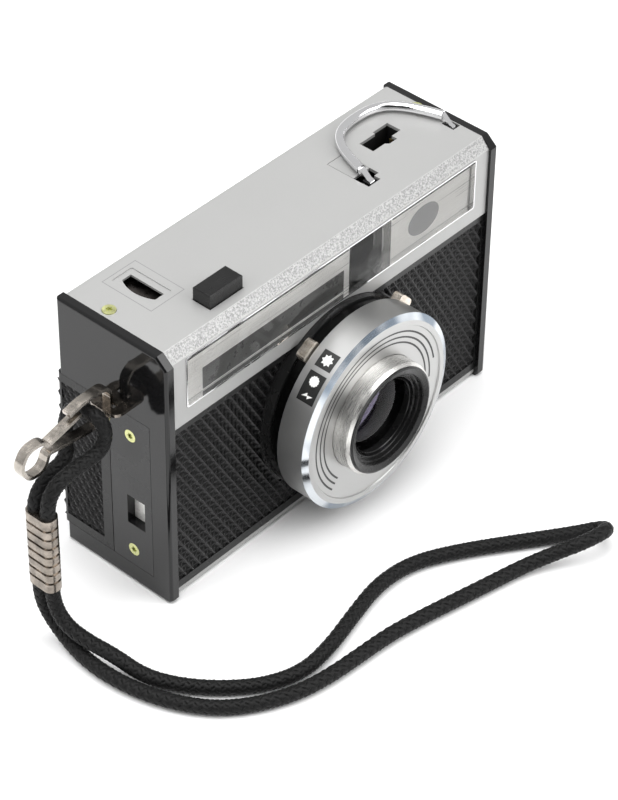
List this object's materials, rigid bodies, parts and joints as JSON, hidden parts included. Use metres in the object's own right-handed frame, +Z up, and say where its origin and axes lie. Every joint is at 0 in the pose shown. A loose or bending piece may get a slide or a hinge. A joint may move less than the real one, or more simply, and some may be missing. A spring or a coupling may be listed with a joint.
{
  "type": "compact film camera",
  "caption": "Compact viewfinder film camera with full-width front window, drum-shaped lens, bulb socket under a wire bail, hinged back and braided wrist strap.",
  "frame": {"origin": "mouth of the tripod bush, in the plane the camera stands on", "axes": "+Z up, -Y towards the lens side, +X to the right when facing the lens"},
  "size_m": [0.1396, 0.0992, 0.0745],
  "materials": {
    "cap_black": "glossy",
    "panel_black": "fine lattice texture, satin",
    "cover_aluminium": "satin anodised",
    "drum_aluminium": "fine satin",
    "black_anodised": "satin black",
    "bright_chrome": "polished",
    "nickel": "nickel plated",
    "steel": "plain sheet",
    "zinc": "yellow zinc plated",
    "foil": "bright pressed foil",
    "window_glass": "clear",
    "lens_glass": "coated",
    "chassis_plastic": "matte",
    "socket_plastic": "matte",
    "brass": "plain",
    "battery_case": "printed sheet",
    "cord_black": "braided"
  },
  "bodies": {
    "camera": {"end_cap_left": "cap_black", "end_cap_right": "cap_black", "top_cover": "cover_aluminium", "base_plate": "cover_aluminium", "tripod_bush": "steel", "front_panel": "panel_black", "lens_board": "chassis_plastic", "chassis_floor": "chassis_plastic", "chassis_deck": "chassis_plastic", "chamber_left": "chassis_plastic", "chamber_right": "chassis_plastic", "film_gate": "chassis_plastic", "side_panel": "cap_black", "indicator_plate": "nickel", "cover_screws": "zinc", "base_screws": "steel", "window_rim": "bright_chrome", "front_window": "window_glass", "foil_panels": "foil", "finder_tube": "chassis_plastic", "finder_frame": "panel_black", "finder_front_lens": "lens_glass", "finder_eyepiece": "lens_glass", "button_guide": "steel", "counter_bridge": "steel", "flash_socket": "socket_plastic", "flash_contacts": "brass", "bail_bracket": "steel", "flash_battery": "battery_case", "shutter_housing": "black_anodised", "lens_collar": "black_anodised", "lens_drum": "drum_aluminium", "front_ring": "drum_aluminium", "lens_barrel": "drum_aluminium", "lens_bezel": "black_anodised", "front_element": "lens_glass", "lens_cell": "black_anodised", "rear_element": "lens_glass", "hinge_bracket": "steel", "door_hinge_pin": "steel", "strap_lug": "nickel", "strap_clip": "nickel", "strap_ferrule": "nickel", "wrist_cord": "cord_black", "hitch_cord": "cord_black", "button_spring": "steel"},
    "button": {"shutter_button": "cap_black"},
    "release": {"release_lever": "steel"},
    "blade": {"shutter_blade": "steel"},
    "selector": {"selector_ring": "nickel"},
    "aperture": {"aperture_plate": "black_anodised"},
    "bail": {"flash_bail": "bright_chrome"},
    "flap": {"ejector_flap": "cover_aluminium"},
    "door": {"back_door": "panel_black"},
    "film_plate": {"pressure_plate": "steel", "pressure_spring": "steel"},
    "latch": {"door_latch": "steel"},
    "lever": {"advance_lever": "cap_black"},
    "shaft": {"transport_shaft": "brass"},
    "counter": {"counter_disc": "chassis_plastic"}
  },
  "joints": [
    {"name": "button_press", "type": "slide", "parent": "camera", "child": "button", "axis": [0, 0, -1], "range_m": [0, 0.0022], "stiffness_N_per_m": 350, "springref_m": -0.001, "deforming": ["button_spring"]},
    {"name": "release_turn", "type": "hinge", "parent": "camera", "child": "release", "pos_m": [0.002, -0.0124, 0.0566], "axis": [0, -1, 0], "range_deg": [0, 4]},
    {"name": "blade_swing", "type": "hinge", "parent": "camera", "child": "blade", "pos_m": [-0.0085, -0.00515, 0.0295], "axis": [0, -1, 0], "range_deg": [0, 60], "stiffness_Nm_per_rad": 0.0002, "springref_deg": -28.65},
    {"name": "selector_turn", "type": "hinge", "parent": "camera", "child": "selector", "pos_m": [0, -0.0193, 0.0295], "axis": [0, -1, 0], "range_deg": [0, 17]},
    {"name": "aperture_turn", "type": "hinge", "parent": "camera", "child": "aperture", "pos_m": [0.0095, -0.00765, 0.0295], "axis": [0, 1, 0], "range_deg": [0, 34]},
    {"name": "bail_lift", "type": "hinge", "parent": "camera", "child": "bail", "pos_m": [0.0369, -0.0059, 0.0702], "axis": [1, 0, 0], "range_deg": [0, 90]},
    {"name": "flap_press", "type": "hinge", "parent": "camera", "child": "flap", "pos_m": [0.0231, 0.0041, 0.0695], "axis": [1, 0, 0], "range_deg": [0, 6], "stiffness_Nm_per_rad": 0.01, "springref_deg": -5.73},
    {"name": "door_swing", "type": "hinge", "parent": "camera", "child": "door", "pos_m": [0.0535, 0.0155, 0.0275], "axis": [0, 0, -1], "range_deg": [0, 115]},
    {"name": "plate_give", "type": "slide", "parent": "door", "child": "film_plate", "axis": [0, 1, 0], "range_m": [0, 0.0006], "stiffness_N_per_m": 300, "springref_m": -0.001},
    {"name": "latch_slide", "type": "slide", "parent": "camera", "child": "latch", "axis": [1, 0, 0], "range_m": [0, 0.0022]},
    {"name": "lever_wind", "type": "hinge", "parent": "camera", "child": "lever", "pos_m": [-0.031, 0.0086, 0.055], "axis": [0, 0, -1], "range_deg": [0, 80], "stiffness_Nm_per_rad": 0.003, "springref_deg": -22.92},
    {"name": "shaft_spin", "type": "hinge", "parent": "camera", "child": "shaft", "pos_m": [-0.022, 0.0086, 0.03], "axis": [0, 0, 1], "range_deg": [0, 160]},
    {"name": "counter_step", "type": "hinge", "parent": "camera", "child": "counter", "pos_m": [-0.0346, 0.005, 0.068], "axis": [0, 0, -1], "range_deg": [0, 15]}
  ],
  "couplings": [
    {"joint": "release_turn", "follows": "button_press", "rad_per_m": 30.3},
    {"joint": "aperture_turn", "follows": "selector_turn", "ratio": 2},
    {"joint": "shaft_spin", "follows": "lever_wind", "ratio": 2},
    {"joint": "counter_step", "follows": "lever_wind", "ratio": 0.1875}
  ]
}
